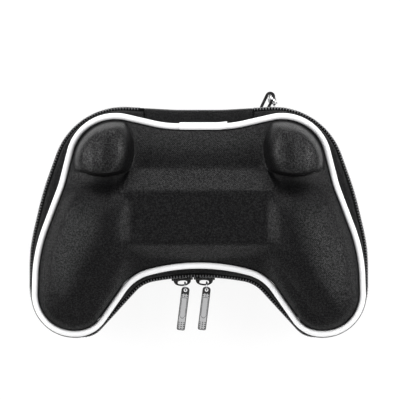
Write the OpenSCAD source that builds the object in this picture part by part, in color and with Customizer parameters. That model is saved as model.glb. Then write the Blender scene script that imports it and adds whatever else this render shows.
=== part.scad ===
// Moulded carrying case for a twin-grip game controller.
// It lies on its back shell: +X is the width, +Y the hinge side, +Z the front shell.
// The origin is the middle of the flat that it rests on.

/* [Outline] */
// Width over the zip at the two grips
case_w = 175; // [160:1:200]
// Depth over the zip from the hinge side to the grip tips
case_d = 120; // [110:1:135]

/* [Shells] */
// Height of the back shell from its resting flat to its seam
back_h = 19; // [16:0.5:24]
// Height of the soft wall between the two piped seams
gusset_h = 22; // [20:0.5:28]
// Height of the front shell over the grips, above its seam
grip_h = 20; // [16:0.5:24]
// Height of the front shell in the valley above each grip
valley_h = 10; // [7:0.5:13]
// Height of the low middle of the front shell
middle_h = 7.5; // [6:0.5:10]
// Height of the flat plateau of the front shell
plateau_h = 14; // [11:0.5:16]
// Height of the two trigger humps
hump_h = 26; // [22:0.5:30]
// Thickness of the moulded shells
wall = 3; // [2:0.25:4]
// Width over which a shell rolls over from its seam
edge_w = 23; // [18:1:26]
// The same for the back shell
back_edge_w = 14; // [11:1:18]

/* [Piping] */
// Diameter of the piping bead
bead_d = 3.2; // [2.4:0.1:3.6]
// Outer diameter of the sleeve over the piping joint
sleeve_d = 4.3; // [4:0.1:5]
// Length of that sleeve
sleeve_len = 24.5; // [14:0.5:30]
// Centre of that sleeve from the middle of the case
sleeve_x = 2.3; // [-4:0.1:4]

/* [Zip] */
// Thickness of the zip tape
tape_t = 1; // [0.8:0.1:1.3]
// Height of one row of zip coil
coil_h = 1.9; // [1.5:0.1:2.4]
// Depth of the coil, seen from above
coil_t = 2; // [1.6:0.1:2.4]
// Distance between the two rows, in which the slider's neck runs
coil_gap = 1; // [0.8:0.1:1.4]
// Width of the cloth hinge, at whose sides the zip ends
hinge_w = 56; // [48:1:62]

/* [Sliders] */
// Length of a slider along the zip
slider_len = 11; // [9:0.5:12]
// Width of a slider across the zip
slider_w = 6.6; // [5.6:0.1:8]
// Thickness of a slider's two plates
plate_t = 1.1; // [0.9:0.1:1.3]
// Centre of the left slider from the middle of the case
left_slider_x = -8.7; // [-12:0.1:-7]
// Centre of the right slider from the middle of the case
right_slider_x = 2.9; // [2.9:0.1:8]

/* [Pulls] */
// Length of a pull tab
tab_len = 22.5; // [16:0.5:28]
// Width of a pull tab
tab_w = 4.2; // [3.6:0.1:6]
// Thickness of a pull tab
tab_t = 1.2; // [1:0.1:1.6]
// Diameter of the link's wire
link_wire = 0.9; // [0.7:0.05:1]
// Diameter of the link over the middle of its wire
link_d = 4; // [3.9:0.05:4.1]
// Place of the link along the slider's bridge
link_x = 1.3; // [-1.3:0.1:1.3]
// Lean of the tabs as they hang in the picture
tab_lean = 7; // [0:1:20]

/* [Loop and clasp] */
// Place of the webbing loop along the hinge side
loop_x = 32; // [31:0.5:40]
// Reach of the loop beyond the zip
loop_reach = 8.5; // [8:0.5:12]
// Width of the webbing
web_w = 5; // [4:0.5:6]
// Thickness of the webbing
web_t = 1.5; // [1:0.1:1.7]
// Diameter of the eye's wire
eye_wire = 1.2; // [1:0.1:1.4]
// Diameter of the swivel collar
collar_d = 4.4; // [4:0.1:5.5]
// Outer radius of the clasp's hook
hook_r = 4.2; // [3.6:0.1:4.4]
// Thickness of the hook
hook_t = 2.4; // [2.2:0.1:3]

/* [Hidden] */
$fn = 48;

// The outlines are drawn at this size and stretched to case_w and case_d.
drawn_w = 175;
drawn_d = 120;
kx = case_w / drawn_w;
ky = case_d / drawn_d;
kr = min(kx, ky);

// Corners of half an outline, clockwise from the middle of the hinge side: [x, y, radius].
// They are the dip of the hinge side, the shoulder, the waist, the grip's flank, the two
// corners of the grip's tip, the inner bend and the hollow of the front.
seam_corners = [[17, 45.6, 60], [60.4, 55.6, 24], [70.5, 15.5, 60], [83.6, -19, 80],
                [84.9, -61, 20.8], [54.6, -61, 17], [33.9, -31.4, 23], [0, -22.7, 98]];
zip_corners = [[12, 54.4, 80], [64.4, 57.3, 37], [80.6, 12, 120], [87.4, -17, 80],
               [87.4, -63, 26], [54.4, -63, 12], [28.9, -35.1, 17], [0, -30.2, 130]];
// Steps of each corner's arc, and points between it and the next corner
arc_steps = [1, 6, 1, 2, 4, 5, 4, 6];
line_points = [2, 1, 1, 0, 0, 5, 0, 0];
tip = 23;
half_n = 2 * tip;
ring_n = 2 * half_n;
// The zip's rows run from this station, inside the cloth hinge, round to its mirror image
zip_end = 2;
// The cloth hinge is swept to this station and cut to its width
panel_end = 5;
hinge_gap = 0.15;
rung_n = 5;

sew_gap = 0.15;
bead_r = bead_d / 2;
z_back = back_h;
z_zip = back_h + gusset_h / 2;
z_front = back_h + gusset_h;
seam_inset = bead_r + sew_gap;
tape_top = gusset_h / 2 - bead_r - sew_gap;
coil_top = coil_gap / 2 + coil_h;
skirt = bead_r + sew_gap + tape_t;

black = [0.07, 0.07, 0.075];
black_trim = [0.05, 0.05, 0.055];
white = [0.93, 0.93, 0.93];
silver = [0.75, 0.75, 0.77];

function xy(c) = [c[0], c[1]];
function unit(v) = v / norm(v);
function lerp(a, b, t) = a + (b - a) * t;
function clamp01(t) = max(0, min(1, t));
function smooth(a, b, v) = let (t = clamp01((v - a) / (b - a))) t * t * (3 - 2 * t);

// Outline of rounded corners
function stretched(half) = [for (c = half) [c[0] * kx, c[1] * ky, c[2] * kr]];
function mirrored_corners(half) =
    concat(half, [for (i = [len(half) - 2:-1:0]) [-half[i][0], half[i][1], half[i][2]]]);
function whole(half) = mirrored_corners(stretched(half));
function half_angle(c, i) =
    let (n = len(c), a = xy(c[i]), u = unit(xy(c[(i + n - 1) % n]) - a), v = unit(xy(c[(i + 1) % n]) - a))
    acos(u * v) / 2;
function tangent_len(c, i) = c[i][2] / tan(half_angle(c, i));
function side_fit(c, i, j) = 0.985 * norm(xy(c[i]) - xy(c[j])) / (tangent_len(c, i) + tangent_len(c, j));
// Arc of one corner: [centre, radius, first angle, sweep, +1 outward bend or -1 inward bend]
function arc_of(c, i) =
    let (n = len(c), p = (i + n - 1) % n, q = (i + 1) % n, a = xy(c[i]),
         u = unit(xy(c[p]) - a), v = unit(xy(c[q]) - a), h = half_angle(c, i),
         r = c[i][2] * min(1, side_fit(c, i, p), side_fit(c, i, q)),
         bend = sign(u[0] * v[1] - u[1] * v[0]),
         o = a + unit(u + v) * r / sin(h), s = a + u * r / tan(h) - o)
    [o, r, atan2(s[1], s[0]), -bend * (180 - 2 * h), bend];
function arc_point(arc, off, t) =
    arc[0] + (arc[1] + arc[4] * off) * [cos(arc[2] + arc[3] * t), sin(arc[2] + arc[3] * t)];
seam_arcs = let (c = whole(seam_corners)) [for (i = [0:len(c) - 1]) arc_of(c, i)];
zip_arcs = let (c = whole(zip_corners)) [for (i = [0:len(c) - 1]) arc_of(c, i)];

// Ring of stations along an outline, off millimetres outside it
function half_ring(arcs, off) =
    concat([[0, arc_point(arcs[0], off, 0)[1]]],
           [for (i = [0:7], k = [0:arc_steps[i] + line_points[i]])
               k <= arc_steps[i]
               ? arc_point(arcs[i], off, k / arc_steps[i] * (i == 7 ? 0.5 : 1))
               : lerp(arc_point(arcs[i], off, 1), arc_point(arcs[i + 1], off, 0),
                      (k - arc_steps[i]) / (line_points[i] + 1))]);
function ring(arcs, off) =
    let (h = half_ring(arcs, off))
    concat(h, [for (i = [half_n - 1:-1:1]) [-h[i][0], h[i][1]]]);

// Distance of a point to the seam
seam_ring = ring(seam_arcs, 0);
function edge_distance(p) =
    min([for (i = [0:ring_n - 1])
        let (a = seam_ring[i], b = seam_ring[(i + 1) % ring_n], d = b - a,
             t = clamp01((p - a) * d / (d * d)))
        norm(p - a - d * t)]);

// Heights of the shells above their seams
function roll(d, w) = 1 - pow(1 - clamp01(d / w), 2);
// The grips are highest towards the middle and lean down by this share to the outer side
grip_lean = 0.35;
function front_crown(p) =
    let (side = smooth(28 * kx, 46 * kx, abs(p[0])), up = smooth(2 * ky, 19 * ky, p[1]),
         lean = 1 - grip_lean * smooth(46 * kx, 85 * kx, abs(p[0])))
    lerp(middle_h, lerp(grip_h * lean, valley_h, up), side);
function front_height(p, d) = front_crown(p) * roll(d, edge_w);
// The back shell's dome is a little too high and is cut off level at its resting flat
back_over = 0.8;
function back_height(p, d) = (back_h + back_over) * roll(d, back_edge_w);

// Closed dome: rings that step in from the seam, then rungs across what is left
outer_insets = [0, 1.2, 3.2, 6, 9.5];
inner_insets = [0, 2.5, 8];
function dome_height(front, p, d) = front ? front_height(p, d) : back_height(p, d);
module dome(front, t) {
    insets = t > 0 ? inner_insets : outer_insets;
    last = len(insets);
    base = [for (p = ring(seam_arcs, -seam_inset - t)) [p[0], p[1], -skirt - (t > 0 ? 1 : 0)]];
    rings = [for (k = insets) let (inset = seam_inset + t + k)
             for (p = ring(seam_arcs, -inset)) [p[0], p[1], dome_height(front, p, inset - t) - t]];
    inner = ring(seam_arcs, -(seam_inset + t + insets[last - 1]));
    rungs = [for (side = [0, 1], j = [side:tip - 1], s = [1:rung_n - 1])
             let (a = inner[(ring_n + (side == 0 ? j : -j)) % ring_n],
                  b = inner[side == 0 ? half_n - j : half_n + j], p = lerp(a, b, s / rung_n))
             [p[0], p[1], dome_height(front, p, edge_distance(p) - t) - t]];
    top = last * ring_n;
    first_rung = (last + 1) * ring_n;
    points = concat(base, rings, rungs);
    bands = [for (k = [0:last - 1], i = [0:ring_n - 1])
             let (j = (i + 1) % ring_n, a = k * ring_n, b = a + ring_n)
             each [[a + i, a + j, b + j], [a + i, b + j, b + i]]];
    strips = [for (side = [0, 1], j = [0:tip - 2], s = [0:rung_n - 1])
              let (a = rung_index(side, j, s, top, first_rung),
                   b = rung_index(side, j, s + 1, top, first_rung),
                   c = rung_index(side, j + 1, s + 1, top, first_rung),
                   d = rung_index(side, j + 1, s, top, first_rung))
              each (side == 0 ? [[a, d, c], [a, c, b]] : [[a, c, d], [a, b, c]])];
    tips = [for (side = [0, 1], s = [0:rung_n - 1])
            let (a = rung_index(side, tip - 1, s, top, first_rung),
                 b = rung_index(side, tip - 1, s + 1, top, first_rung),
                 c = top + (side == 0 ? tip : ring_n - tip))
            side == 0 ? [a, c, b] : [a, b, c]];
    floor_strips = [for (side = [0, 1], j = [0:tip - 2])
                    let (a = base_index(side, j), b = base_index(side, half_n - j),
                         c = base_index(side, half_n - j - 1), d = base_index(side, j + 1))
                    each (side == 0 ? [[a, c, d], [a, b, c]] : [[a, d, c], [a, c, b]])];
    floor_tips = [for (side = [0, 1])
                  let (a = base_index(side, tip - 1), b = base_index(side, tip + 1),
                       c = base_index(side, tip))
                  side == 0 ? [a, b, c] : [a, c, b]];
    polyhedron(points, concat(bands, strips, tips, floor_strips, floor_tips));
}
function base_index(side, j) = side == 0 ? j : (ring_n - j) % ring_n;
// Index of point s of rung j; its ends are stations of the innermost ring
function rung_index(side, j, s, top, first) =
    s == 0 ? top + (ring_n + (side == 0 ? j : -j)) % ring_n
    : s == rung_n ? top + (side == 0 ? half_n - j : half_n + j)
    : first + (side == 1 && j > 0 ? tip * (rung_n - 1) + (j - 1) * (rung_n - 1) : j * (rung_n - 1)) + s - 1;

// Plateau with a soft slope to the hinge side and a crisp one to the hollow
module plateau(t) {
    slab = 0.4;
    z_top = plateau_h - slab - t;
    hull() {
        translate([0, 0, z_top])
            linear_extrude(slab)
                polygon([[-36 * kx + t, 12.5 * ky], [36 * kx - t, 12.5 * ky],
                         [33 * kx - t, -14.5 * ky + t], [-33 * kx + t, -14.5 * ky + t]]);
        translate([0, 0, middle_h - 1.5 - t])
            linear_extrude(slab)
                polygon([[-31 * kx, 26 * ky - t], [31 * kx, 26 * ky - t],
                         [40 * kx, 13 * ky], [-40 * kx, 13 * ky]]);
        translate([0, 0, -t])
            linear_extrude(slab)
                polygon([[-37 * kx + t, -20 * ky], [37 * kx - t, -20 * ky],
                         [35 * kx - t, -24 * ky + t], [20 * kx, -24 * ky + t],
                         [-20 * kx, -24 * ky + t], [-35 * kx + t, -24 * ky + t]]);
    }
}

// Trigger hump on the shoulder: a drum with a narrow flat crown
shoulder = seam_arcs[1];
module hump_plan(inset, inner_r, front_r) {
    intersection() {
        translate(shoulder[0])
            circle(r = shoulder[1] - inset, $fn = 28);
        translate([48.5 * kx, 45 * ky])
            circle(r = front_r, $fn = 40);
        translate([55 * kx, 33 * ky])
            circle(r = inner_r, $fn = 28);
    }
}
// Levels of a hump: [height, inset, radius of its inner side, outer side, radius of its front]
hump_levels = [[0.4, 0.8, 22.6, 70, 25.5], [hump_h * 0.5, 2.4, 21.2, 70, 25],
               [hump_h * 0.8, 4.4, 18.8, 60, 24.3], [hump_h - 1.2, 6.6, 14.2, 56.5, 23.4],
               [hump_h, 8.4, 11.5, 54, 22.4]];
module hump_level(level, t) {
    slab = 0.3;
    translate([0, 0, level[0] - slab - t])
        linear_extrude(slab)
            intersection() {
                hump_plan(seam_inset + level[1] + t, level[2] * kr - t, level[4] * kr - t);
                square([level[3] * kx - t, 60 * ky]);
            }
}
module hump(t) {
    for (i = [0:len(hump_levels) - 2])
        hull() {
            hump_level(hump_levels[i], t);
            hump_level(hump_levels[i + 1], t);
        }
}

module front_form(t) {
    dome(true, t);
    plateau(t);
    hump(t);
    mirror([1, 0, 0])
        hump(t);
}

module front_shell() {
    color(black)
        translate([0, 0, z_front])
            difference() {
                front_form(0);
                front_form(wall);
            }
}

module level_dome(t) {
    intersection() {
        dome(false, t);
        translate([-case_w, -case_d, -back_h])
            cube([2 * case_w, 2 * case_d, 2 * back_h - t]);
    }
}
module back_shell() {
    color(black)
        translate([0, 0, z_back])
            mirror([0, 0, 1])
                difference() {
                    level_dome(0);
                    level_dome(wall);
                }
}

// Rings round the case are swept through its stations. A place on their section is
// [how far out from the seam to the zip, distance from the seam line, distance from the
// zip line, height].
function place_ring(place) =
    let (s = ring(seam_arcs, place[1]), z = ring(zip_arcs, place[2]))
    [for (i = [0:ring_n - 1]) concat(lerp(s[i], z[i], place[0]), place[3])];
function swept_points(section, stations) =
    let (rings = [for (place = section) place_ring(place)])
    [for (i = stations, k = [0:len(section) - 1]) rings[k][(i + ring_n) % ring_n]];
function swept_sides(m, n, closed) =
    [for (i = [0:n - (closed ? 1 : 2)], k = [0:m - 1])
        let (q = (k + 1) % m, j = (i + 1) % n, a = i * m + k, b = i * m + q, c = j * m + q, d = j * m + k)
        each [[a, c, b], [a, d, c]]];
// End of a strip, whose point k faces point m - 1 - k across its thickness
function strip_end(m, first, turned) =
    [for (k = [0:m / 2 - 2])
        let (a = first + k, b = a + 1, c = first + m - 2 - k, d = c + 1)
        each (turned ? [[a, c, b], [a, d, c]] : [[a, b, c], [a, c, d]])];
module closed_sweep(section) {
    polyhedron(swept_points(section, [0:ring_n - 1]), swept_sides(len(section), ring_n, true));
}
module open_sweep(section, from, to) {
    m = len(section);
    n = to - from + 1;
    polyhedron(swept_points(section, [from:to]),
               concat(swept_sides(m, n, false), strip_end(m, 0, false),
                      strip_end(m, (n - 1) * m, true)));
}

// Piping bead and the sleeve that covers its joint
bead_sides = 8;
bead_section = [for (k = [bead_sides - 1:-1:0]) let (a = (k + 0.5) * 360 / bead_sides)
                [0, bead_r * cos(a), 0, bead_r * sin(a)]];
// The sleeve wraps the bead's free side, between the shell and the soft wall
sleeve_fit = 0.05;
sleeve_angles = [140:-23.75:-50];
sleeve_outside = [for (a = sleeve_angles) [0, sleeve_d / 2 * cos(a), 0, sleeve_d / 2 * sin(a)]];
sleeve_inside = [for (i = [len(sleeve_outside) - 1:-1:0]) let (p = sleeve_outside[i])
                 2 * (bead_r + sleeve_fit) / sleeve_d * p];
module piping_sleeve() {
    intersection() {
        open_sweep(concat(sleeve_outside, sleeve_inside), -2, 2);
        translate([sleeve_x - sleeve_len / 2, 0, -sleeve_d])
            cube([sleeve_len, case_d, 2 * sleeve_d]);
    }
}
module front_piping() { color(white) translate([0, 0, z_front]) closed_sweep(bead_section); }
module back_piping() { color(white) translate([0, 0, z_back]) closed_sweep(bead_section); }
module front_piping_sleeve() { color(white) translate([0, 0, z_front]) piping_sleeve(); }
module back_piping_sleeve() {
    color(white)
        translate([0, 0, z_back])
            mirror([0, 0, 1])
                piping_sleeve();
}

// Soft wall between a seam and the zip
zip_mid = coil_t / 2;
tape_out = zip_mid - tape_t / 2;
tape_in = zip_mid + tape_t / 2;
wall_outside = [[0, -seam_inset + 0.1, 0, tape_top], [0, 0.9, 0, tape_top],
                [0.5, 0.9, -tape_out, tape_top * 0.79], [0.87, 0.9, -tape_out, tape_top * 0.52]];
wall_inside = [[0.87, -0.1, -tape_in, tape_top * 0.49], [0.5, -0.1, -tape_in, tape_top * 0.69],
               [0, -0.1, 0, tape_top - tape_t], [0, -seam_inset + 0.1, 0, tape_top - tape_t]];
tape_section = concat(wall_outside, [[1, 0, -tape_out, coil_top], [1, 0, -tape_in, coil_top]],
                      wall_inside);
module hinge_block(w) {
    translate([-w / 2, 0, -gusset_h])
        cube([w, case_d, 2 * gusset_h]);
}
module zip_tape() {
    difference() {
        open_sweep(tape_section, zip_end, ring_n - zip_end);
        hinge_block(hinge_w * kx + hinge_gap);
    }
}
module front_zip_tape() { color(black_trim) translate([0, 0, z_zip]) zip_tape(); }
module back_zip_tape() { color(black_trim) translate([0, 0, z_zip]) mirror([0, 0, 1]) zip_tape(); }

// One row of the zip's coil
coil_section = [[1, 0, 0, coil_top], [1, 0, 0, coil_gap / 2],
                [1, 0, -coil_t, coil_gap / 2], [1, 0, -coil_t, coil_top]];
module zip_coil() {
    difference() {
        open_sweep(coil_section, zip_end, ring_n - zip_end);
        hinge_block(hinge_w * kx + hinge_gap);
    }
}
module front_zip_coil() { color(black_trim) translate([0, 0, z_zip]) zip_coil(); }
module back_zip_coil() { color(black_trim) translate([0, 0, z_zip]) mirror([0, 0, 1]) zip_coil(); }

// Fabric hinge: the same soft wall, from seam to seam and without a zip
function turned_over(places) =
    [for (i = [len(places) - 1:-1:0]) let (p = places[i]) [p[0], p[1], p[2], -p[3]]];
panel_section = concat(wall_outside, [[1, 0, -tape_out, 0]], turned_over(wall_outside),
                       turned_over(wall_inside), [[1, 0, -tape_in, 0]], wall_inside);
module hinge_panel() {
    color(black)
        translate([0, 0, z_zip])
            intersection() {
                open_sweep(panel_section, -panel_end, panel_end);
                hinge_block(hinge_w * kx - hinge_gap);
            }
}

// Zip slider, drawn at the origin: the zip runs along x, outward is -y
slider_clear = 0.35;
plate_gap = coil_t + 2 * slider_clear;
neck_t = coil_gap - 2 * 0.2;
bridge_w = 1;
bridge_bar = 0.7;
bridge_foot = 0.3;
bridge_sink = 0.05;
bridge_hole = [4, link_wire + 1];
bridge_h = bridge_foot + bridge_hole[1] + bridge_bar;
module slider_plate() {
    r = 1.2;
    nose = slider_len / 2 - r;
    tail = slider_w / 2 - r;
    rotate([90, 0, 0])
        linear_extrude(plate_t, center = true)
            hull()
                for (v = [-1, 1]) {
                    translate([nose, v * tail])
                        circle(r);
                    translate([-nose, v * (tail - 0.7)])
                        circle(r);
                }
}
module slider_bridge() {
    linear_extrude(bridge_w, center = true)
        difference() {
            polygon([[-slider_len * 0.42, 0], [-slider_len * 0.22, -bridge_h],
                     [slider_len * 0.22, -bridge_h], [slider_len * 0.42, 0]]);
            translate([-bridge_hole[0] / 2, -bridge_hole[1] - bridge_foot])
                square(bridge_hole);
        }
}
module slider() {
    outer_y = -plate_gap / 2 - plate_t / 2;
    translate([0, outer_y, 0])
        slider_plate();
    translate([0, -outer_y, 0])
        slider_plate();
    translate([slider_len / 2 - 2.2, 0, 0])
        cube([1.6, plate_gap + plate_t, neck_t], center = true);
    translate([0, outer_y - plate_t / 2 + bridge_sink, 0])
        slider_bridge();
}
// The chain runs on the broad arc of the hollow, so a slider turns about its centre
hollow = zip_arcs[7];
hollow_r = hollow[1] + coil_t / 2;
module on_zip(x) {
    translate(concat(hollow[0], z_zip))
        rotate(-asin(x / hollow_r))
            translate([0, hollow_r, 0])
                children();
}
module left_slider() { color(black) on_zip(left_slider_x) slider(); }
module right_slider() { color(black) on_zip(right_slider_x) mirror([1, 0, 0]) slider(); }

// Pull: a wire link round the bridge and a flat tab that hangs on the link
hole_y = -plate_gap / 2 - plate_t + bridge_sink - bridge_foot - bridge_hole[1] / 2;
link_y = hole_y - link_d / 2;
tab_y = link_y - link_d / 2;
eye_hole = link_wire + 0.9;
module pull_link() {
    translate([link_x, link_y, 0])
        rotate([0, 90, 0])
            rotate_extrude()
                translate([link_d / 2, 0])
                    circle(d = link_wire, $fn = 24);
}
module tab_plan() {
    top_r = 1.6;
    low_r = 0.9;
    hull()
        for (v = [-1, 1]) {
            translate([v * (tab_w / 2 - top_r), 0])
                circle(top_r);
            translate([v * (tab_w / 2 - low_r), top_r - tab_len + low_r])
                circle(low_r);
        }
}
module pull_tab(x) {
    relief = 0.25;
    translate([link_x, tab_y, 0])
        rotate(asin(x / hollow_r) - tab_lean)
            difference() {
                linear_extrude(tab_t, center = true)
                    difference() {
                        tab_plan();
                        circle(d = eye_hole);
                    }
                for (v = [-1, 1])
                    translate([0, 0, v * tab_t / 2])
                        linear_extrude(2 * relief, center = true)
                            hull() {
                                translate([0, -tab_len * 0.2])
                                    square([tab_w - 1.4, 1], center = true);
                                translate([0, -tab_len * 0.62])
                                    circle(d = tab_w - 1.4);
                            }
            }
}
module left_pull_link() { color(silver) on_zip(left_slider_x) pull_link(); }
module right_pull_link() { color(silver) on_zip(right_slider_x) pull_link(); }
module left_pull_tab() { color(silver) on_zip(left_slider_x) pull_tab(left_slider_x); }
module right_pull_tab() { color(silver) on_zip(right_slider_x) pull_tab(right_slider_x); }

// Webbing loop, sewn on at the back seam and seen edge-on from above
side_y = arc_point(zip_arcs[1], 0, 0)[1];
loop_root_y = arc_point(seam_arcs[1], 0, 0)[1] + bead_r + 0.3;
loop_r = web_t / 2 + eye_wire / 2 + 0.5;
root_x = loop_x * kx;
loop_tip = [root_x + 5.2, side_y + loop_reach - loop_r - web_t / 2];
foot_slit = 2.4;
foot_w = foot_slit + 2 * web_t;
web_z = z_back + 0.5;
module strap_loop() {
    color(black)
        translate([0, 0, web_z])
            linear_extrude(web_w, center = true)
                difference() {
                    hull() {
                        translate(loop_tip)
                            circle(loop_r + web_t / 2);
                        translate([root_x - foot_w / 2, loop_root_y])
                            square([foot_w, 1]);
                    }
                    hull() {
                        translate(loop_tip)
                            circle(loop_r - web_t / 2);
                        translate([root_x - foot_slit / 2, loop_root_y + 2.5])
                            square([foot_slit, 0.1]);
                    }
                }
}

// Swivel clasp: its eye hangs over the loop's edge, and all of it turns to face eye_turn
eye_turn = 40;
eye_r = eye_wire / 2;
eye_half = web_t / 2 + 0.7 + eye_r;
eye_mid = loop_tip + loop_r * [sin(eye_turn), -cos(eye_turn)];
eye_top = web_z + web_w / 2 + 0.3 + eye_r;
eye_low = web_z - web_w / 2 - 1.6;
swivel_top = eye_low - eye_half;
stem_d = 1.2;
stem_h = 2.6;
head_d = 2.2;
head_h = 0.7;
collar_h = 2.4;
collar_top = swivel_top - eye_r - 0.3;
hook_bar = 1.4;
hook_z = collar_top - collar_h - hook_r + 0.3;
hook_mid_r = hook_r - hook_bar / 2;
gate_t = hook_t - 1.2;
gate_from = -42;
gate_to = 60;
pin_d = 0.8;
gate_reach = 1.2 * hook_mid_r;
gate_gap = 0.2;
module at_eye(z) {
    translate(concat(eye_mid, z))
        rotate(eye_turn)
            children();
}
module hook_flat(t) {
    at_eye(hook_z)
        rotate([90, 0, 90])
            linear_extrude(t, center = true)
                children();
}
// Part of the hook's ring, between two angles
module ring_part(inside, outside, from, to) {
    intersection() {
        difference() {
            circle(outside);
            circle(inside);
        }
        polygon(concat([[0, 0]], [for (k = [0:6]) let (a = lerp(from, to, k / 6))
                                  2 * outside * [cos(a), sin(a)]]));
    }
}
module at_gate_pin() {
    rotate(gate_from)
        translate([hook_mid_r, 0])
            children();
}
module gate_pin_hole(d, t) {
    hook_flat(t)
        at_gate_pin()
            circle(d = d);
}
module clasp_eye() {
    color(silver) {
        for (v = [-1, 1])
            at_eye(eye_low)
                translate([0, v * eye_half, 0])
                    cylinder(r = eye_r, h = eye_top - eye_half - eye_low);
        for (v = [0, 1])
            at_eye(v == 1 ? eye_top - eye_half : eye_low)
                rotate([90, 0, 90])
                    rotate(v == 1 ? 0 : 180)
                        rotate_extrude(angle = 180)
                            translate([eye_half, 0])
                                circle(eye_r, $fn = 24);
        at_eye(swivel_top - stem_h)
            cylinder(d = stem_d, h = stem_h);
        at_eye(swivel_top - stem_h)
            cylinder(d = head_d, h = head_h);
    }
}
module clasp_hook() {
    color(silver)
        difference() {
            union() {
                at_eye(collar_top - collar_h)
                    cylinder(d = collar_d, h = collar_h);
                hook_flat(hook_t)
                    difference() {
                        circle(hook_r);
                        circle(hook_r - hook_bar);
                    }
            }
            hook_flat(hook_t + 1)
                intersection() {
                    ring_part(hook_r - hook_bar - gate_gap, hook_r + gate_gap, gate_from + 14, gate_to);
                    at_gate_pin()
                        circle(gate_reach + gate_gap);
                }
            hook_flat(gate_t + 2 * gate_gap)
                ring_part(hook_r - hook_bar - gate_gap, hook_r + gate_gap,
                          gate_from - 16, gate_from + 15);
            gate_pin_hole(pin_d + 0.1, hook_t + 1);
            at_eye(swivel_top - stem_h - 0.25)
                cylinder(d = head_d + 0.5, h = head_h + 0.5);
            at_eye(swivel_top - stem_h)
                cylinder(d = stem_d + 0.4, h = stem_h);
        }
}
module clasp_gate() {
    color(silver)
        difference() {
            hook_flat(gate_t) {
                intersection() {
                    ring_part(hook_r - hook_bar, hook_r, gate_from, gate_to);
                    at_gate_pin()
                        circle(gate_reach);
                }
                at_gate_pin()
                    circle(d = hook_bar);
            }
            gate_pin_hole(pin_d + 0.16, hook_t);
        }
}
module clasp_gate_pin() { color(silver) gate_pin_hole(pin_d, hook_t); }

front_shell();
back_shell();
front_piping();
back_piping();
front_piping_sleeve();
back_piping_sleeve();
front_zip_tape();
back_zip_tape();
front_zip_coil();
back_zip_coil();
hinge_panel();
left_slider();
right_slider();
left_pull_link();
right_pull_link();
left_pull_tab();
right_pull_tab();
strap_loop();
clasp_eye();
clasp_hook();
clasp_gate();
clasp_gate_pin();
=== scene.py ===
"""Moulded carrying case for a twin-grip game controller: the look of the part."""
import math

import bpy
import numpy as np
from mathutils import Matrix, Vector
from mathutils.geometry import delaunay_2d_cdt


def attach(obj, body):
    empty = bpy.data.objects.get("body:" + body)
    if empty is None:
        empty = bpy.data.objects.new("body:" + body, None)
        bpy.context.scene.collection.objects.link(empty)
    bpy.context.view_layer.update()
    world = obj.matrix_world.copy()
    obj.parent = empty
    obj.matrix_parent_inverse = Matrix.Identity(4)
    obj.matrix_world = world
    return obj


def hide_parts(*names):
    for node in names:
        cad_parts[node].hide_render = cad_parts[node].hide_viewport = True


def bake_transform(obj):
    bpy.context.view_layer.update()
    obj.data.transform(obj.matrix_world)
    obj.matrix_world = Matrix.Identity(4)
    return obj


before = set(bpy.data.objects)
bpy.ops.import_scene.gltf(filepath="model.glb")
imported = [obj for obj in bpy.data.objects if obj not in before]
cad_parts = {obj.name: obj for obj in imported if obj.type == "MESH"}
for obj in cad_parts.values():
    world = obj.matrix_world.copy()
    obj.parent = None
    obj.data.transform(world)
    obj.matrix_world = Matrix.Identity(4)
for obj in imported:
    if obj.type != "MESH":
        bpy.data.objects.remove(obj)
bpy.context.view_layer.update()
MM = 0.001

# Outlines as on the CAD part, in mm: corners [x, y, radius] of the right half
SEAM_CORNERS = [(17, 45.6, 60), (60.4, 55.6, 24), (70.5, 15.5, 60), (83.6, -19, 80),
                (84.9, -61, 20.8), (54.6, -61, 17), (33.9, -31.4, 23), (0, -22.7, 98)]
ZIP_CORNERS = [(12, 54.4, 80), (64.4, 57.3, 37), (80.6, 12, 120), (87.4, -17, 80),
               (87.4, -63, 26), (54.4, -63, 12), (28.9, -35.1, 17), (0, -30.2, 130)]
# Steps along each corner's arc and points on the straight after it, each cut FINE times finer
ARC_STEPS = [1, 6, 1, 2, 4, 5, 4, 6]
LINE_POINTS = [2, 1, 1, 0, 0, 5, 0, 0]
FINE = 6
# Most of a straight that the two arcs at its ends may take up
ARC_SHARE = 0.985

# Heights of the back seam, the zip and the front seam
Z_BACK, Z_ZIP, Z_FRONT = 19.0, 30.0, 41.0
WALL = 3.0
BEAD_R = 1.6
SEAM_GAP = 0.15
SEAM_INSET = BEAD_R + SEAM_GAP
# How far a shell's rim is turned in below the seam
SKIRT = SEAM_INSET + 1.0
# Widths over which the shells roll over from the seam
EDGE_W, BACK_EDGE_W = 23.0, 14.0
# Heights over the seam: the valley, the plateau, the grips, and the grips beside the humps
MIDDLE_H, PLATEAU_H, GRIP_H, UPPER_H = 7.5, 14.0, 20, 10
GRIP_LEAN = 0.4
PLATEAU_FRONT, PLATEAU_BACK = -14.5, 12.5
BACK_H = 19.0


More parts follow.
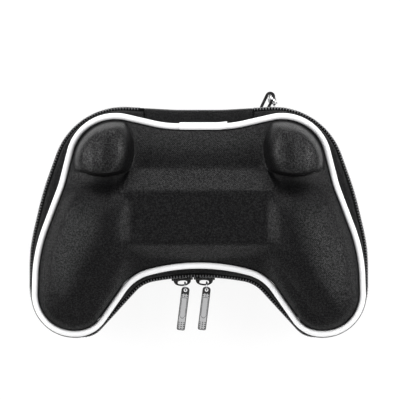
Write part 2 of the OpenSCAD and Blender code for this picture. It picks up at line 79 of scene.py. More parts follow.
def outline_arcs(corners):
    """Arcs of an outline's right half: [centre, radius, start angle, turn, bulging side]."""
    whole = corners + [(-x, y, r) for x, y, r in reversed(corners[:-1])]
    n = len(whole)
    pts = [np.array(c[:2], float) for c in whole]

    def parts(i):
        a = pts[i]
        u, v = pts[i - 1] - a, pts[(i + 1) % n] - a
        u, v = u / np.linalg.norm(u), v / np.linalg.norm(v)
        return a, u, v, math.acos(float(np.clip(u @ v, -1, 1))) / 2

    def tangent(i):
        return whole[i][2] / math.tan(parts(i)[3])

    def fit(i, j):
        j %= n
        return ARC_SHARE * np.linalg.norm(pts[i] - pts[j]) / (tangent(i) + tangent(j))

    arcs = []
    for i in range(len(corners)):
        a, u, v, half = parts(i)
        r = whole[i][2] * min(1, fit(i, i - 1), fit(i, i + 1))
        bend = np.sign(u[0] * v[1] - u[1] * v[0])
        centre = a + (u + v) / np.linalg.norm(u + v) * r / math.sin(half)
        start = a + u * r / math.tan(half) - centre
        arcs.append((centre, r, math.atan2(start[1], start[0]), -bend * (math.pi - 2 * half), bend))
    return arcs


SEAM_ARCS, ZIP_ARCS = outline_arcs(SEAM_CORNERS), outline_arcs(ZIP_CORNERS)


def arc_point(arc, off, t):
    """Point at share t of an arc, off mm outside it."""
    centre, r, a0, turn, bend = arc
    a = a0 + turn * t
    return centre + (r + bend * off) * np.array([math.cos(a), math.sin(a)])


def ring(arcs, off):
    """Stations round an outline, off mm outside it, clockwise from the middle of the hinge side."""
    first = arc_point(arcs[0], off, 0)
    half = [np.array([0.0, first[1]])]
    last = len(arcs) - 1
    for i in range(last + 1):
        steps = ARC_STEPS[i] * FINE
        span = 0.5 if i == last else 1
        for k in range(steps + 1):
            half.append(arc_point(arcs[i], off, k / steps * span))
        if i < last:
            a, b = arc_point(arcs[i], off, 1), arc_point(arcs[i + 1], off, 0)
            m = (LINE_POINTS[i] + 1) * FINE
            half += [a + (b - a) * k / m for k in range(1, m)]
    lead = [half[0] + (half[1] - half[0]) * k / FINE for k in range(FINE)]
    half = lead + half[1:]
    left = [np.array([-p[0], p[1]]) for p in half[-2:0:-1]]
    return np.array(half + left)


SEAM_RING = ring(SEAM_ARCS, 0)
RING_N = len(SEAM_RING)


def edge_distance(p):
    """Distance of points to the seam line."""
    a = SEAM_RING
    d = np.roll(a, -1, axis=0) - a
    best = np.full(len(p), 1e9)
    for i in range(RING_N):
        w = p - a[i]
        t = np.clip(w @ d[i] / (d[i] @ d[i]), 0, 1)
        best = np.minimum(best, np.hypot(w[:, 0] - t * d[i, 0], w[:, 1] - t * d[i, 1]))
    return best


def smooth(a, b, v):
    """Soft step from 0 at a to 1 at b."""
    t = np.clip((v - a) / (b - a), 0, 1)
    return t * t * (3 - 2 * t)


def soft_min(a, b, k):
    """The lower of two heights, blended where they are less than k apart."""
    h = np.maximum(k - np.abs(a - b), 0) / k
    return np.minimum(a, b) - h * h * k / 4


def soft_max(a, b, k):
    return -soft_min(-a, -b, k)


def roll(d, w):
    """Rise from 0 at the seam to 1 at w mm from it."""
    return 1 - (1 - np.clip(d / w, 0, 1)) ** 2


def crown(p):
    """Height of the valley in the middle and of the grips, which lean to their outer side."""
    x, y = np.abs(p[:, 0]), p[:, 1]
    lean = 1 - GRIP_LEAN * soft_max((x - 42) / 43, np.zeros(len(p)), 0.25)
    grip = GRIP_H * lean + (UPPER_H - GRIP_H * lean) * smooth(2, 19, y)
    return MIDDLE_H + (grip - MIDDLE_H) * smooth(28, 45, x)


def plateau(p):
    """Height of the raised flat and of the slopes that fall from its four edges."""
    x, y = np.abs(p[:, 0]), p[:, 1]
    top = np.full(len(p), PLATEAU_H)
    front = PLATEAU_H - (PLATEAU_FRONT - y) * 1.38
    back = PLATEAU_H - (y - PLATEAU_BACK) * (PLATEAU_H - MIDDLE_H + 1.1) / 13.5
    side_x = 37.5 + smooth(-14, 6, y) - 8.5 * smooth(13, 26, y)
    side = PLATEAU_H - (x - side_x) * (1.5 + 1.6 * smooth(8, -18, y))
    h = soft_min(top, back, 0.5)
    h = soft_min(h, front, 0.7)
    return soft_min(h, side, 0.9)


# A trigger hump by levels: height, inset from the seam, radius of its inner side,
# x of its outer side, radius of its front
HUMP_TABLE = np.array([[-3, 0.2, 23.0, 72, 25.7], [0.4, 0.8, 22.6, 70, 25.5],
                       [13, 2.4, 21.2, 70, 25], [20.8, 4.4, 18.8, 60, 24.3],
                       [24.8, 6.6, 14.2, 56.5, 23.4], [26, 8.4, 11.5, 54, 22.4],
                       [26.2, 12, 7, 49, 19]])
HUMP_TOP = 26.2
# Height given to points that a hump doesn't reach
FAR_BELOW = -30
FINE_LEVELS, MEAN_OVER = 74, 11


def smooth_levels(table):
    """The table at finer heights, its kinks evened out by a running mean."""
    z = np.linspace(table[0, 0], table[-1, 0], FINE_LEVELS)
    columns = [z]
    for values in table.T[1:]:
        padded = np.pad(np.interp(z, table[:, 0], values), MEAN_OVER // 2, "reflect",
                        reflect_type="odd")
        columns.append(np.convolve(padded, np.ones(MEAN_OVER) / MEAN_OVER, "valid"))
    return columns


HUMP_LEVELS = smooth_levels(HUMP_TABLE)


def hump(p):
    """Height of a trigger hump: each side of it is a wall that leans in as it rises."""
    x, y = np.abs(p[:, 0]), p[:, 1]
    centre, r = SEAM_ARCS[1][:2]
    z, inset, inner_r, outer_x, front_r = HUMP_LEVELS
    walls = [(r - SEAM_INSET - np.hypot(x - centre[0], y - centre[1]), inset),
             (-np.hypot(x - 48.5, y - 45), -front_r),
             (-np.hypot(x - 55, y - 33), -inner_r),
             (-x, -outer_x)]
    # The crown falls outward and has two faint ribs
    h = 26.4 - 0.16 * np.maximum(x - 42, 0) - 0.006 * (x - 42) ** 2 - 0.012 * (y - 31) ** 2
    h += 0.22 * (np.exp(-((x - 53.8) / 1.9) ** 2) + np.exp(-((x - 43.5) / 1.9) ** 2))
    for place, levels in walls:
        h = soft_min(h, np.interp(place, levels, z, left=FAR_BELOW, right=HUMP_TOP), 1.5)
    return h


def front_form(p, d):
    """Height of the front shell over its seam at points d mm from the seam."""
    x, y = np.abs(p[:, 0]), p[:, 1]
    h = crown(p) * roll(d, EDGE_W)
    h = soft_max(h, plateau(p), 0.8 + 3 * smooth(29, 37, x) * smooth(-20, -12, y))
    return soft_max(h, hump(p), 0.8)


def back_form(p, d):
    """Height of the back shell: a dome cut off by the flat that it rests on."""
    return soft_min((BACK_H + 0.8) * roll(d, BACK_EDGE_W), np.full(len(p), BACK_H), 0.8)


def new_object(name, verts, faces, smooth_shade=True):
    """Mesh object from vertices in mm."""
    mesh = bpy.data.meshes.new(name)
    mesh.from_pydata([tuple(float(c) * MM for c in v) for v in verts], [], faces)
    mesh.validate()
    mesh.update()
    obj = bpy.data.objects.new(name, mesh)
    bpy.context.scene.collection.objects.link(obj)
    if smooth_shade:
        for f in mesh.polygons:
            f.use_smooth = True
    return obj


def inside_ring(pts, r):
    """Which points lie inside a ring."""
    inside = np.zeros(len(pts), bool)
    for (x0, y0), (x1, y1) in zip(r, np.roll(r, -1, axis=0)):
        if y0 != y1:
            cross = (y0 > pts[:, 1]) != (y1 > pts[:, 1])
            at = x0 + (pts[:, 1] - y0) * (x1 - x0) / (y1 - y0)
            inside ^= cross & (pts[:, 0] < at)
    return inside


def turn_of(u, v, w):
    """Twice the area of a triangle, above 0 when it runs anticlockwise."""
    return (v[0] - u[0]) * (w[1] - u[1]) - (v[1] - u[1]) * (w[0] - u[0])


def sheet_points(first_inset, ring_steps, grid):
    """Faces over the outline: rings that step in from the seam, then triangles on a grid.

    The grid is twice as fine round the humps.
    """
    rings = [ring(SEAM_ARCS, -(first_inset + k)) for k in ring_steps]
    deepest = first_inset + ring_steps[-1]
    xs = np.arange(-88, 88.01, grid / 2)
    ys = np.arange(-64, 58.01, grid / 2)
    gx, gy = np.meshgrid(xs, ys)
    used = (np.abs(gx) > 30) & (np.abs(gx) < 70) & (gy > 14)
    used[::2, ::2] = True
    pts = np.stack([gx[used], gy[used]], axis=1)
    inner = rings[-1]
    pts = pts[inside_ring(pts, inner) & (edge_distance(pts) > deepest + grid * 0.6)]
    n = len(inner)
    flat = [Vector(p) for p in np.concatenate([inner, pts])]
    edges = [(i, (i + 1) % n) for i in range(n)]
    _, _, tris, orig, _, _ = delaunay_2d_cdt(flat, edges, [], 1, 1e-6)
    back = [o[0] if o else 0 for o in orig]
    base = (len(rings) - 1) * n
    all_pts = np.concatenate(rings[:-1] + [inner, pts])
    # The rings run clockwise, so these quads face up
    faces = [(k * n + i, (k + 1) * n + i, (k + 1) * n + (i + 1) % n, k * n + (i + 1) % n)
             for k in range(len(rings) - 1) for i in range(n)]
    for t in tris:
        t = tuple(base + back[i] for i in t)
        faces.append(t if turn_of(*(all_pts[i] for i in t)) > 0 else t[::-1])
    return all_pts, faces, n


def relax(z, faces, weight, rounds):
    """Evens heights out between neighbouring points."""
    edges = np.array([(f[i - 1], f[i]) for f in faces for i in range(len(f))])
    a, b = np.concatenate([edges, edges[:, ::-1]]).T
    count = np.bincount(a, minlength=len(z))
    for _ in range(rounds):
        z = z + weight * (np.bincount(a, z[b], len(z)) / count - z)
    return z


SKIN_RINGS, SKIN_GRID = [0, 0.25, 0.6, 1.1, 1.8, 2.6, 3.6, 4.8, 6.2], 1.0
LINING_RINGS, LINING_GRID = [0, 0.8, 2, 3.6, 5.4], 1.6
RELAX_WEIGHT, RELAX_ROUNDS = 0.9, 70


def painted_light_of(form_z, p, inset, front):
    """Shine gained or lost as painted light: painted shade in the crease beside the piping and on
    the humps' lower walls, painted highlight on the hump tops.
    """
    # Painted shade: less shine in the crease beside the piping
    painted_light = -smooth(0.8, 0.25, inset - SEAM_INSET)
    if front:
        on_hump = hump(p) > form_z - 0.6
        # Painted highlight on the hump crowns and painted shade on the hump walls below them
        painted_light += on_hump * (0.9 * smooth(20.5, 23.5, form_z) - 0.35 * smooth(22, 19, form_z))
    return np.clip(painted_light, -1, 1)


def shell(name, node, body, form, z0, up):
    """One moulded shell: outer skin, rolled-in rim and lining."""
    outer, faces, n = sheet_points(SEAM_INSET, SKIN_RINGS, SKIN_GRID)
    inner, inner_faces, _ = sheet_points(SEAM_INSET + WALL, LINING_RINGS, LINING_GRID)
    inset = edge_distance(outer)
    on_grips = (smooth(3, 10, inset) * smooth(38, 46, np.abs(outer[:, 0]))
                * smooth(14, 4, outer[:, 1]))
    oz = relax(form(outer, inset), faces, on_grips * RELAX_WEIGHT, RELAX_ROUNDS)
    iz = form(inner, edge_distance(inner) - WALL) - WALL
    iz = np.maximum(iz, -SKIRT + 0.3)
    verts = [(x, y, z0 + up * z) for (x, y), z in zip(outer, oz)]
    shift = len(verts)
    verts += [(x, y, z0 + up * z) for (x, y), z in zip(inner, iz)]
    rim_o, rim_i = len(verts), len(verts) + n
    verts += [(x, y, z0 - up * SKIRT) for x, y in outer[:n]]
    verts += [(x, y, z0 - up * SKIRT) for x, y in inner[:n]]
    lining = [tuple(shift + i for i in f[::-1]) for f in inner_faces]
    rim = []
    for i in range(n):
        j = (i + 1) % n
        rim.append((i, j, rim_o + j, rim_o + i))
        rim.append((rim_o + i, rim_o + j, rim_i + j, rim_i + i))
        lining.append((rim_i + i, rim_i + j, shift + j, shift + i))
    every = faces + rim + lining
    if up < 0:
        every = [f[::-1] for f in every]
    obj = new_object(name, verts, every)
    for m in (mat_shell, mat_lining):
        obj.data.materials.append(m)
    first_lining = len(faces) + len(rim)
    for k, f in enumerate(obj.data.polygons):
        f.material_index = 1 if k >= first_lining else 0
    # Painted light of the outer skin, painted shade and painted highlight, which the weave's shine
    # reads
    painted_light = np.zeros(len(verts))
    painted_light[:shift] = painted_light_of(oz, outer, inset, up > 0)
    level = obj.data.attributes.new("painted_light", "FLOAT", "POINT")
    level.data.foreach_set("value", painted_light)
    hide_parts(node)
    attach(obj, body)


# The cloth hinge meets the zip at HINGE_X; ZIP_START is the first station beyond it
HINGE_X, HINGE_GAP = 28.0, 0.08
ZIP_START = 5 * FINE


def at_x(r, xs):
    """Points of a ring's hinge side at these x."""
    near = np.concatenate([r[-ZIP_START:], r[:ZIP_START + 1]])
    return np.column_stack([xs, np.interp(xs, near[:, 0], near[:, 1])])


def whole_ring(r):
    """The ring with its first point again at the end."""
    return np.vstack([r, r[:1]])


def zip_ring(r):
    """The ring from the right side of the cloth hinge round to its left side."""
    right = at_x(r, np.linspace(HINGE_X + HINGE_GAP, r[ZIP_START, 0], 9)[:-1])
    left = right[::-1] * [-1, 1]
    return np.vstack([right, r[ZIP_START:RING_N - ZIP_START + 1], left])


def hinge_ring(r):
    """The stretch of the ring that the cloth hinge takes up."""
    end = HINGE_X - HINGE_GAP
    return at_x(r, np.linspace(-end, end, 33))


def place_path(place, path):
    """Path of a place [0 seam to 1 zip, seam offset, zip offset, height] round the case."""
    out, so, zo, h = place
    s, z = path(ring(SEAM_ARCS, so)), path(ring(ZIP_ARCS, zo))
    return np.column_stack([s + (z - s) * out, np.full(len(s), h)])


def sweep(name, places, z0, flip, path):
    """Strip round the case whose section is made of those places."""
    rows = [place_path(place, path) * [1, 1, flip] + [0, 0, z0] for place in places]
    n, m = len(rows[0]), len(rows)
    verts = [row[i] for i in range(n) for row in rows]
    faces = []
    for i in range(n - 1):
        for k in range(m):
            q = (k + 1) % m
            f = (i * m + k, i * m + q, (i + 1) * m + q, (i + 1) * m + k)
            faces.append(f if flip > 0 else f[::-1])
    if path is not whole_ring:
        ends = [tuple(range(m)), tuple((n - 1) * m + k for k in range(m))]
        faces.append(ends[0][::-1] if flip > 0 else ends[0])
        faces.append(ends[1] if flip > 0 else ends[1][::-1])
    return new_object(name, verts, faces)


def material(name, color, rough, **more):
    """New material with its node tree and its main shader."""
    mat = bpy.data.materials.new(name)
    mat.use_nodes = True
    bsdf = mat.node_tree.nodes["Principled BSDF"]
    bsdf.inputs["Base Color"].default_value = (*color, 1)
    bsdf.inputs["Roughness"].default_value = rough
    for key, value in more.items():
        bsdf.inputs[key.replace("_", " ")].default_value = value
    return mat, mat.node_tree, bsdf


def add(tree, kind, **sockets):
    """New node with these sockets set."""
    node = tree.nodes.new(kind)
    for key, value in sockets.items():
        node.inputs[key.replace("_", " ")].default_value = value
    return node


def bump(tree, bsdf, height, strength, distance):
    b = add(tree, "ShaderNodeBump", Strength=strength, Distance=distance)
    tree.links.new(height, b.inputs["Height"])
    tree.links.new(b.outputs["Normal"], bsdf.inputs["Normal"])


def maths(tree, op, a, b):
    """Output of a maths node fed with numbers or sockets."""
    node = tree.nodes.new("ShaderNodeMath")
    node.operation = op
    for k, v in enumerate((a, b)):
        if isinstance(v, (int, float)):
            node.inputs[k].default_value = v
        else:
            tree.links.new(v, node.inputs[k])
    return node.outputs[0]


def weave(name, color, rough, pitch, sheen, grain=0.35, shine=0.5):
    """Plain weave of that pitch in metres, with grain over it, flecks in its shine, and painted
    shade and painted highlight from a point attribute that scale its shine.
    """
    mat, tree, bsdf = material(name, color, rough, Sheen_Weight=sheen, Sheen_Roughness=0.4,
                               Specular_IOR_Level=shine)
    coord = tree.nodes.new("ShaderNodeTexCoord")
    sep = tree.nodes.new("ShaderNodeSeparateXYZ")
    tree.links.new(coord.outputs["Object"], sep.inputs[0])
    k = 2 * math.pi / pitch
    sx = maths(tree, "SINE", maths(tree, "MULTIPLY", sep.outputs["X"], k), 0)
    sy = maths(tree, "SINE", maths(tree, "MULTIPLY", sep.outputs["Y"], k), 0)
    threads = maths(tree, "MULTIPLY", sx, sy)
    noise = add(tree, "ShaderNodeTexNoise", Scale=2600.0, Detail=3.0)
    tree.links.new(coord.outputs["Object"], noise.inputs["Vector"])
    height = maths(tree, "ADD", maths(tree, "MULTIPLY", threads, 0.5),
                   maths(tree, "MULTIPLY", noise.outputs["Fac"], grain * 4))
    fleck = add(tree, "ShaderNodeTexNoise", Scale=1500.0, Detail=2.0)
    tree.links.new(coord.outputs["Object"], fleck.inputs["Vector"])
    ramp = tree.nodes.new("ShaderNodeValToRGB")
    low, high = ramp.color_ramp.elements
    low.position, low.color = 0.4, (*[shine * 0.35] * 3, 1)
    high.position, high.color = 0.68, (*[shine * 1.9] * 3, 1)
    tree.links.new(fleck.outputs["Fac"], ramp.inputs[0])
    # Painted light: a point attribute of painted shade and painted highlight scales the shine
    painted_light = tree.nodes.new("ShaderNodeAttribute")
    painted_light.attribute_name = "painted_light"
    gain = maths(tree, "ADD", painted_light.outputs["Fac"], 1.0)
    level = maths(tree, "MULTIPLY", ramp.outputs[0], gain)
    tree.links.new(level, bsdf.inputs["Specular IOR Level"])
    bump(tree, bsdf, height, 0.35, 0.0002)
    return mat


def cast_metal():
    """Plated casting with painted shade: the grooves, border and pits of its relief are coloured
    dark.
    """
    mat, tree, bsdf = material("cast_pull_metal", (0.9, 0.9, 0.91), 0.24, Metallic=1.0)
    painted_relief_shade = tree.nodes.new("ShaderNodeAttribute")
    painted_relief_shade.attribute_name = "painted_relief_shade"
    ramp = tree.nodes.new("ShaderNodeValToRGB")
    ramp.color_ramp.elements[0].color = (0.88, 0.88, 0.89, 1)
    ramp.color_ramp.elements[1].color = (0.001, 0.001, 0.001, 1)
    tree.links.new(painted_relief_shade.outputs["Fac"], ramp.inputs[0])
    tree.links.new(ramp.outputs[0], bsdf.inputs["Base Color"])
    return mat


mat_shell = weave("black_nylon", (0.0028, 0.0028, 0.003), 0.4, 0.0011, 0.0, shine=0.12)
mat_lining = weave("lining", (0.05, 0.05, 0.055), 0.8, 0.002, 0.3)
mat_tape = weave("zip_tape_weave", (0.0025, 0.0025, 0.0027), 0.5, 0.0009, 0.0, 0.8, 0.07)
mat_webbing = weave("webbing_rib", (0.006, 0.006, 0.0065), 0.5, 0.0008, 0.0, 0.5, 0.15)
mat_piping = material("white_piping", (0.64, 0.64, 0.645), 0.42)[0]
mat_coil = material("coil_plastic", (0.002, 0.002, 0.002), 0.5, Specular_IOR_Level=0.05)[0]
# Painted highlight: the teeth get a lighter grey than the black coil, standing in for the glints on
# them; their gloss is their own
mat_teeth = material("coil_teeth_painted_highlight", (0.085, 0.085, 0.088), 0.3, Specular_IOR_Level=0.4)[0]
mat_black = material("black_enamel", (0.006, 0.006, 0.006), 0.25, Specular_IOR_Level=0.3)[0]
mat_metal = material("plated_metal", (0.9, 0.9, 0.91), 0.2, Metallic=1.0)[0]
# Painted shade: the link's wire is a darker grey than the plated metal, standing in for the shade
# along its sides
mat_link = material("link_wire_metal_painted_shade", (0.36, 0.36, 0.37), 0.25, Metallic=1.0)[0]
mat_cast = cast_metal()
mat_dark_metal = material("dark_plated_metal", (0.08, 0.08, 0.08), 0.24, Metallic=1.0)[0]

shell("front_shell_skin", "front_shell", "front_half", front_form, Z_FRONT, 1)
shell("back_shell_skin", "back_shell", "back_half", back_form, Z_BACK, -1)

BEAD_SIDES = 20
for side, z0, body in (("front", Z_FRONT, "front_half"), ("back", Z_BACK, "back_half")):
    places = [[0, BEAD_R * math.cos(a), 0, BEAD_R * math.sin(a)]
              for a in np.linspace(2 * math.pi, 0, BEAD_SIDES, endpoint=False)]
    bead = sweep(side + "_piping_bead", places, z0, 1, whole_ring)
    bead.data.materials.append(mat_piping)
    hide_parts(side + "_piping")
    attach(bead, body)

# Places of the soft walls' sections between the seams and the zip, heights from the zip
TAPE_TOP = Z_FRONT - Z_ZIP - BEAD_R - SEAM_GAP
COIL_TOP = 2.4
WALL_OUT = [[0, -SEAM_INSET + 0.1, 0, TAPE_TOP], [0, 0.9, 0, TAPE_TOP],
            [0, 2.2, 0, TAPE_TOP * 0.84], [0.5, 1.6, -0.9, TAPE_TOP * 0.72],
            [0.87, 0.9, -1.5, TAPE_TOP * 0.52]]
WALL_IN = [[0.87, -0.1, -2.5, TAPE_TOP * 0.49], [0.5, -0.1, -2.0, TAPE_TOP * 0.69],
           [0, -0.1, 0, TAPE_TOP - 1], [0, -SEAM_INSET + 0.1, 0, TAPE_TOP - 1]]
for side, flip, body in (("front", 1, "front_half"), ("back", -1, "back_half")):
    places = WALL_OUT + [[1, 0, -1.6, COIL_TOP], [1, 0, -2.4, COIL_TOP]] + WALL_IN
    tape = sweep(side + "_zip_wall", places, Z_ZIP, flip, zip_ring)
    tape.data.materials.append(mat_tape)
    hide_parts(side + "_zip_tape")
    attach(tape, body)



def below(places):
    """The same places mirrored to the other side of the zip, in reverse."""
    return [[a, b, c, -h] for a, b, c, h in places[::-1]]


# The cloth hinge is one cloth from seam to seam
HINGE_OUT = [[a, b, (0.2 if a > 0 else 0), h] for a, b, c, h in WALL_OUT]
panel_places = (HINGE_OUT + [[1, 0, 0.1, 0]] + below(HINGE_OUT)
                + below(WALL_IN) + [[1, 0, -1.5, 0]] + WALL_IN)
panel = sweep("hinge_cloth", panel_places, Z_ZIP, 1, hinge_ring)
panel.data.materials.append(mat_tape)
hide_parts("hinge_panel")
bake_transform(panel)

# Teeth of the zip's coil: loops of thread whose heads mesh across the slit
TOOTH_PITCH, TOOTH_HALF = 1.5, 0.28
TOOTH_LINE = zip_ring(ring(ZIP_ARCS, -1.0))
# Section of a tooth, outward and up from the slit: [out, height, half width]
TOOTH = [(-0.2, 2.7, 0.9), (0.35, 2.9, 0.9), (0.95, 2.6, 0.9), (1.28, 1.9, 1), (1.3, 0.7, 1.1),
         (1.05, -0.25, 1.25), (0.5, -0.55, 1.2), (-0.6, -0.5, 1.1)]


def zip_teeth(flip, phase):
    """Teeth along one side of the zip, the first one that many pitches from its end."""
    line_x, line_y = TOOTH_LINE.T
    along = np.concatenate([[0], np.cumsum(np.hypot(np.diff(line_x), np.diff(line_y)))])

    def point(at):
        return np.array([np.interp(at, along, line_x), np.interp(at, along, line_y)])

    verts, faces = [], []
    m = len(TOOTH)
    for t in range(int(along[-1] / TOOTH_PITCH) - 1):
        at = (t + phase) * TOOTH_PITCH
        mid, ahead = point(at), point(at + 0.3)
        tangent = (ahead - mid) / np.linalg.norm(ahead - mid)
        outward = np.array([-tangent[1], tangent[0]])
        base = len(verts)
        for v in (-1, 1):
            for out, h, w in TOOTH:
                xy = mid + outward * out + tangent * v * TOOTH_HALF * w
                verts.append((xy[0], xy[1], Z_ZIP + flip * h))
        tooth = [(base + k, base + (k + 1) % m, base + m + (k + 1) % m, base + m + k)
                 for k in range(m)]
        tooth += [tuple(base + k for k in range(m))[::-1], tuple(base + m + k for k in range(m))]
        faces += [f if flip > 0 else f[::-1] for f in tooth]
    return verts, faces


for side, flip, body, phase in (("front", 1, "front_half", 0.5), ("back", -1, "back_half", 1.0)):
    teeth = new_object(side + "_zip_teeth", *zip_teeth(flip, phase), False)
    teeth.data.materials.append(mat_teeth)
    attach(teeth, body)


def flat_solid(loops, thick, bevel):
    """Vertices in mm and faces of a plate with rounded edges: an outline and its holes."""
    curve = bpy.data.curves.new("outline", "CURVE")
    curve.dimensions = "2D"
    curve.fill_mode = "BOTH"
    curve.extrude = thick / 2 - bevel
    curve.bevel_depth = bevel
    curve.bevel_resolution = 2
    curve.offset = -bevel
    for loop in loops:
        spline = curve.splines.new("POLY")
        spline.points.add(len(loop) - 1)
        for point, (x, y) in zip(spline.points, loop):
            point.co = (x, y, 0, 1)
        spline.use_cyclic_u = True
    obj = bpy.data.objects.new("outline", curve)
    mesh = bpy.data.meshes.new_from_object(obj)
    verts = np.array([v.co[:] for v in mesh.vertices])
    faces = [tuple(f.vertices) for f in mesh.polygons]
    bpy.data.objects.remove(obj)
    bpy.data.meshes.remove(mesh)
    return verts, faces


def gather(parts):
    """One list of vertices and one of faces from several."""
    verts, faces, shift = [], [], 0
    for v, f in parts:
        verts.append(v)
        faces += [tuple(i + shift for i in face) for face in f]
        shift += len(v)
    return np.concatenate(verts), faces


def hull_loop(circles):
    """Outline round circles [x, y, r], anticlockwise."""
    turns = np.linspace(0, 2 * math.pi, 24, endpoint=False)
    pts = sorted((x + r * math.cos(t), y + r * math.sin(t)) for x, y, r in circles for t in turns)
    loop = []
    for row in (pts, pts[::-1]):
        start = len(loop)
        for q in row:
            while len(loop) - start > 1 and turn_of(loop[-2], loop[-1], q) <= 0:
                loop.pop()
            loop.append(q)
        loop.pop()
    return loop


# Sliders and pulls sit on the broad arc of the hollow of the front
HOLLOW_Y = ZIP_ARCS[7][0][1]
HOLLOW_R = ZIP_ARCS[7][1] + 1.0
LEFT_X, RIGHT_X = -8.7, 2.9
LINK_X, TAB_Y = 1.3, -7.65


def on_zip(verts, x):
    """Vertices carried from the middle of the zip's front arc to x on it."""
    a = -math.asin(x / HOLLOW_R)
    px, py = verts[:, 0], verts[:, 1] + HOLLOW_R
    return np.column_stack([px * math.cos(a) - py * math.sin(a),
                            HOLLOW_Y + px * math.sin(a) + py * math.cos(a), verts[:, 2] + Z_ZIP])


def slider_parts():
    """Slider: two plates on edge, the neck between them, the bow for the link and a crest."""
    plate_y, plate_t = 1.9, 1.1
    plan = hull_loop([(4.3, -2.1, 1.2), (4.3, 2.1, 1.2), (-4.3, 1.5, 1.2), (-4.3, -1.5, 1.2)])
    plate, faces = flat_solid([plan], plate_t, 0.28)
    parts = [(np.column_stack([plate[:, 0], y - plate[:, 2], plate[:, 1]]), faces)
             for y in (-plate_y, plate_y)]
    parts.append(flat_solid([[(2.5, -2), (4.1, -2), (4.1, 2), (2.5, 2)]], 0.6, 0.05))
    bow = [(4.5 * math.cos(t), -2.3 - 3.1 * math.sin(t) ** 0.8)
           for t in np.linspace(0, math.pi, 29)]
    slit_half = 2.4
    slit = [(slit_half * u, -4.55 + 0.45 * u * u) for u in np.linspace(-1, 1, 13)]
    slit += [(slit_half * u, -2.62 - 0.45 * abs(u) ** 3) for u in np.linspace(1, -1, 13)]
    parts.append(flat_solid([bow[::-1], slit], 1.0, 0.15))
    crest, faces = flat_solid([hull_loop([(-2.6, 0, 0.5), (-4.2, 0, 0.4)])], 0.5, 0.12)
    parts.append((crest + [0, -2.5, 2.2], faces))
    return gather(parts)


SLIDER, SLIDER_FACES = slider_parts()
for side, x, turn in (("left", LEFT_X, 1), ("right", RIGHT_X, -1)):
    faces = SLIDER_FACES if turn > 0 else [f[::-1] for f in SLIDER_FACES]
    obj = new_object(side + "_slider_body", on_zip(SLIDER * [turn, 1, 1], x), faces)
    obj.data.materials.append(mat_black)
    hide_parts(side + "_slider")
    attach(obj, side + "_slider")

# A pull tab from its eye: where the relief starts, the tab's end and its half width
RELIEF_START, TAB_END, TAB_HALF = 1.9, 20.9, 2.13
TAB_LEAN = math.radians(7)


def tab_relief():
    """Cast relief on both faces of a pull tab: border, long panel and a waffle at each end."""
    corner = 0.9
    v = np.linspace(RELIEF_START, TAB_END, 190)
    near_end = np.clip((v - (TAB_END - corner)) / corner, 0, 1)
    half = TAB_HALF - corner * (1 - np.sqrt(1 - near_end ** 2))
    u = half[:, None] * np.linspace(-1, 1, 45)[None, :]
    n, m = u.shape
    vv = np.repeat(v[:, None], m, axis=1)
    edge = np.minimum(half[:, None] - np.abs(u), TAB_END - vv)
    # How far a point lies inside the long panel, whose far end is round
    round_end = 14.6 - (u / 1.3) ** 2
    into = np.minimum(np.minimum(edge - 0.75, vv - 4.0), round_end - vv)
    line = np.exp(-(into / 0.13) ** 2)
    across, along = 2 * math.pi / 1.3, 2 * math.pi / 1.05
    waffle = (0.5 + 0.5 * np.cos(vv * along)) * (0.5 + 0.5 * np.cos(u * across))
    ends = smooth(16.6, 16.8, vv) + smooth(3.6, 3.4, vv)
    pits = ends * smooth(0.3, 0.45, edge) * smooth(0.3, 0.75, waffle)
    # Painted shade: the border band, the panel's outline and the waffle pits are coloured dark in
    # place of the shade of the relief
    border = smooth(0.55, 0.3, edge)
    painted_relief_shade = np.clip(border * 0.9 + line + pits * 1.2, 0, 1)
    z = 0.8 - 0.08 * (into > 0.1) - 0.1 * (pits > 0.5)
    top = np.stack([u, -vv, z], axis=2).reshape(-1, 3)
    verts = np.concatenate([top, top * [1, 1, -1]])
    faces = []
    for i in range(n - 1):
        for k in range(m - 1):
            a = i * m + k
            faces.append((a, a + m, a + m + 1, a + 1))
            faces.append(tuple(n * m + j for j in (a + 1, a + m + 1, a + m, a)))
    rim = ([k for k in range(m)] + [i * m + m - 1 for i in range(1, n)]
           + [(n - 1) * m + k for k in range(m - 2, -1, -1)] + [i * m for i in range(n - 2, 0, -1)])
    for a, b in zip(rim, rim[1:] + rim[:1]):
        faces.append((a, b, n * m + b, n * m + a))
    return verts, faces, np.tile(painted_relief_shade.reshape(-1), 2)


TAB, TAB_FACES, TAB_RELIEF_SHADE = tab_relief()
for side, x in (("left", LEFT_X), ("right", RIGHT_X)):
    a = math.asin(x / HOLLOW_R) - TAB_LEAN
    tab_x, tab_y, tab_z = TAB.T
    turned = np.column_stack([tab_x * math.cos(a) - tab_y * math.sin(a) + LINK_X,
                              tab_x * math.sin(a) + tab_y * math.cos(a) + TAB_Y, tab_z])
    obj = new_object(side + "_tab_relief", on_zip(turned, x), TAB_FACES, False)
    painted_relief_shade = obj.data.attributes.new("painted_relief_shade", "FLOAT", "POINT")
    painted_relief_shade.data.foreach_set("value", TAB_RELIEF_SHADE)
    obj.data.materials.append(mat_cast)
    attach(obj, side + "_tab")

# The webbing loop: tip and its radius, feet, half of its thickness and width, height
LOOP_TIP, LOOP_R = np.array([37.2, 61.67]), 1.85
LOOP_FEET = [np.array([30.05, 50.8]), np.array([33.95, 51.6])]
LOOP_T, LOOP_W, LOOP_Z = 0.75, 2.5, 19.5
# Its section as shares of the two halves
LOOP_SECTION = ((1, -0.84), (1, 0.84), (0.75, 0.97), (0, 1), (-0.75, 0.97),
                (-1, 0.84), (-1, -0.84), (-0.75, -0.97), (0, -1), (0.75, -0.97))


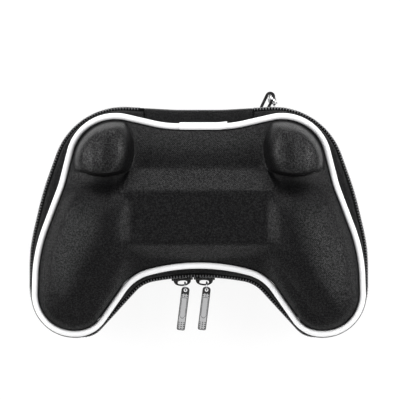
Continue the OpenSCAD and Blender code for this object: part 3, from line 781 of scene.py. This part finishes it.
def webbing():
    """Loop of webbing on edge: up one side, round the tip and back."""
    angles = []
    for foot, turn in zip(LOOP_FEET, (1, -1)):
        d = foot - LOOP_TIP
        angles.append(math.atan2(d[1], d[0]) - turn * math.acos(LOOP_R / np.linalg.norm(d)))
    a0, a1 = angles
    while a1 > a0:
        a1 -= 2 * math.pi
    left, right = LOOP_FEET
    arc = [LOOP_TIP + LOOP_R * np.array([math.cos(a), math.sin(a)])
           for a in np.linspace(a0, a1, 22)]
    legs = 14
    line = [left + (arc[0] - left) * k / legs for k in range(legs)] + arc
    line += [arc[-1] + (right - arc[-1]) * k / legs for k in range(1, legs + 1)]
    line = np.array(line)
    ahead = np.gradient(line, axis=0)
    ahead /= np.linalg.norm(ahead, axis=1)[:, None]
    out = np.column_stack([-ahead[:, 1], ahead[:, 0]])
    verts = [(*(c + o * LOOP_T * x), LOOP_Z + LOOP_W * z)
             for c, o in zip(line, out) for x, z in LOOP_SECTION]
    m, n = len(LOOP_SECTION), len(line)
    faces = [(i * m + k, i * m + (k + 1) % m, (i + 1) * m + (k + 1) % m, (i + 1) * m + k)
             for i in range(n - 1) for k in range(m)]
    faces += [tuple(range(m))[::-1], tuple((n - 1) * m + k for k in range(m))]
    return verts, faces


loop = new_object("webbing_loop", *webbing())
loop.data.materials.append(mat_webbing)
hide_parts("strap_loop")
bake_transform(loop)

# CAD pieces that keep their shape
KEPT = {"front_piping_sleeve": mat_piping, "back_piping_sleeve": mat_piping,
        "front_zip_coil": mat_coil, "back_zip_coil": mat_coil,
        "left_pull_link": mat_link, "right_pull_link": mat_link,
        "left_pull_tab": mat_dark_metal, "right_pull_tab": mat_dark_metal,
        "clasp_eye": mat_metal, "clasp_hook": mat_metal, "clasp_gate": mat_metal,
        "clasp_gate_pin": mat_metal}
for node, mat in KEPT.items():
    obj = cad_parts[node]
    obj.data.materials.clear()
    obj.data.materials.append(mat)

# Camera over the case: VIEW_H up, and VIEW_WIDTH wide at the height of the zip
VIEW_H, VIEW_WIDTH = 1.5, 0.2072
SENSOR = 36
scene = bpy.context.scene
cam_data = bpy.data.cameras.new("camera")
cam = bpy.data.objects.new("camera", cam_data)
scene.collection.objects.link(cam)
scene.camera = cam
cam.location = (0.00062, 0.0078, VIEW_H)
cam_data.sensor_width = SENSOR
cam_data.lens = SENSOR * (VIEW_H - Z_ZIP * MM) / VIEW_WIDTH
cam_data.clip_end = 20

# White floor that glows for the camera, and still keeps the shadow
FLOOR_GLOW = 0.9
FLOOR_HALF, FLOOR_Z = 2500, -0.3
floor = new_object("floor", [(x * FLOOR_HALF, y * FLOOR_HALF, FLOOR_Z)
                             for x, y in ((-1, -1), (1, -1), (1, 1), (-1, 1))],
                   [(0, 1, 2, 3)], False)
mat_floor, floor_tree, floor_bsdf = material("white_floor", (0.85, 0.85, 0.85), 0.9)
floor.data.materials.append(mat_floor)
glow = add(floor_tree, "ShaderNodeEmission", Strength=1.0)
mix = floor_tree.nodes.new("ShaderNodeMixShader")
path = floor_tree.nodes.new("ShaderNodeLightPath")
share = maths(floor_tree, "MULTIPLY", path.outputs["Is Camera Ray"], FLOOR_GLOW)
floor_out = floor_tree.nodes["Material Output"].inputs["Surface"]
for output, socket in ((share, mix.inputs[0]), (floor_bsdf.outputs[0], mix.inputs[1]),
                       (glow.outputs[0], mix.inputs[2]), (mix.outputs[0], floor_out)):
    floor_tree.links.new(output, socket)


def area_light(name, place, size, power):
    """Softbox that faces the middle of the case."""
    data = bpy.data.lights.new(name, "AREA")
    data.shape = "RECTANGLE"
    data.size, data.size_y = size
    data.energy = power
    obj = bpy.data.objects.new(name, data)
    scene.collection.objects.link(obj)
    obj.location = place
    aim = Vector((0, 0, 0.03)) - Vector(place)
    obj.rotation_euler = aim.to_track_quat("-Z", "Y").to_euler()


area_light("left_softbox", (-0.92, 0.1, 0.68), (0.6, 0.8), 13)
area_light("right_softbox", (0.92, 0.1, 0.68), (0.6, 0.8), 13)
area_light("top_softbox", (0, 0.95, 0.6), (1.0, 0.5), 11)
area_light("front_softbox", (0, -0.95, 0.6), (1.0, 0.5), 2)

world = bpy.data.worlds.new("world")
scene.world = world
world.use_nodes = True
background = world.node_tree.nodes["Background"]
background.inputs["Color"].default_value = (1, 1, 1, 1)
background.inputs["Strength"].default_value = 0.5

scene.render.engine = "CYCLES"
scene.render.resolution_x = scene.render.resolution_y = 400
scene.view_settings.view_transform = "Standard"
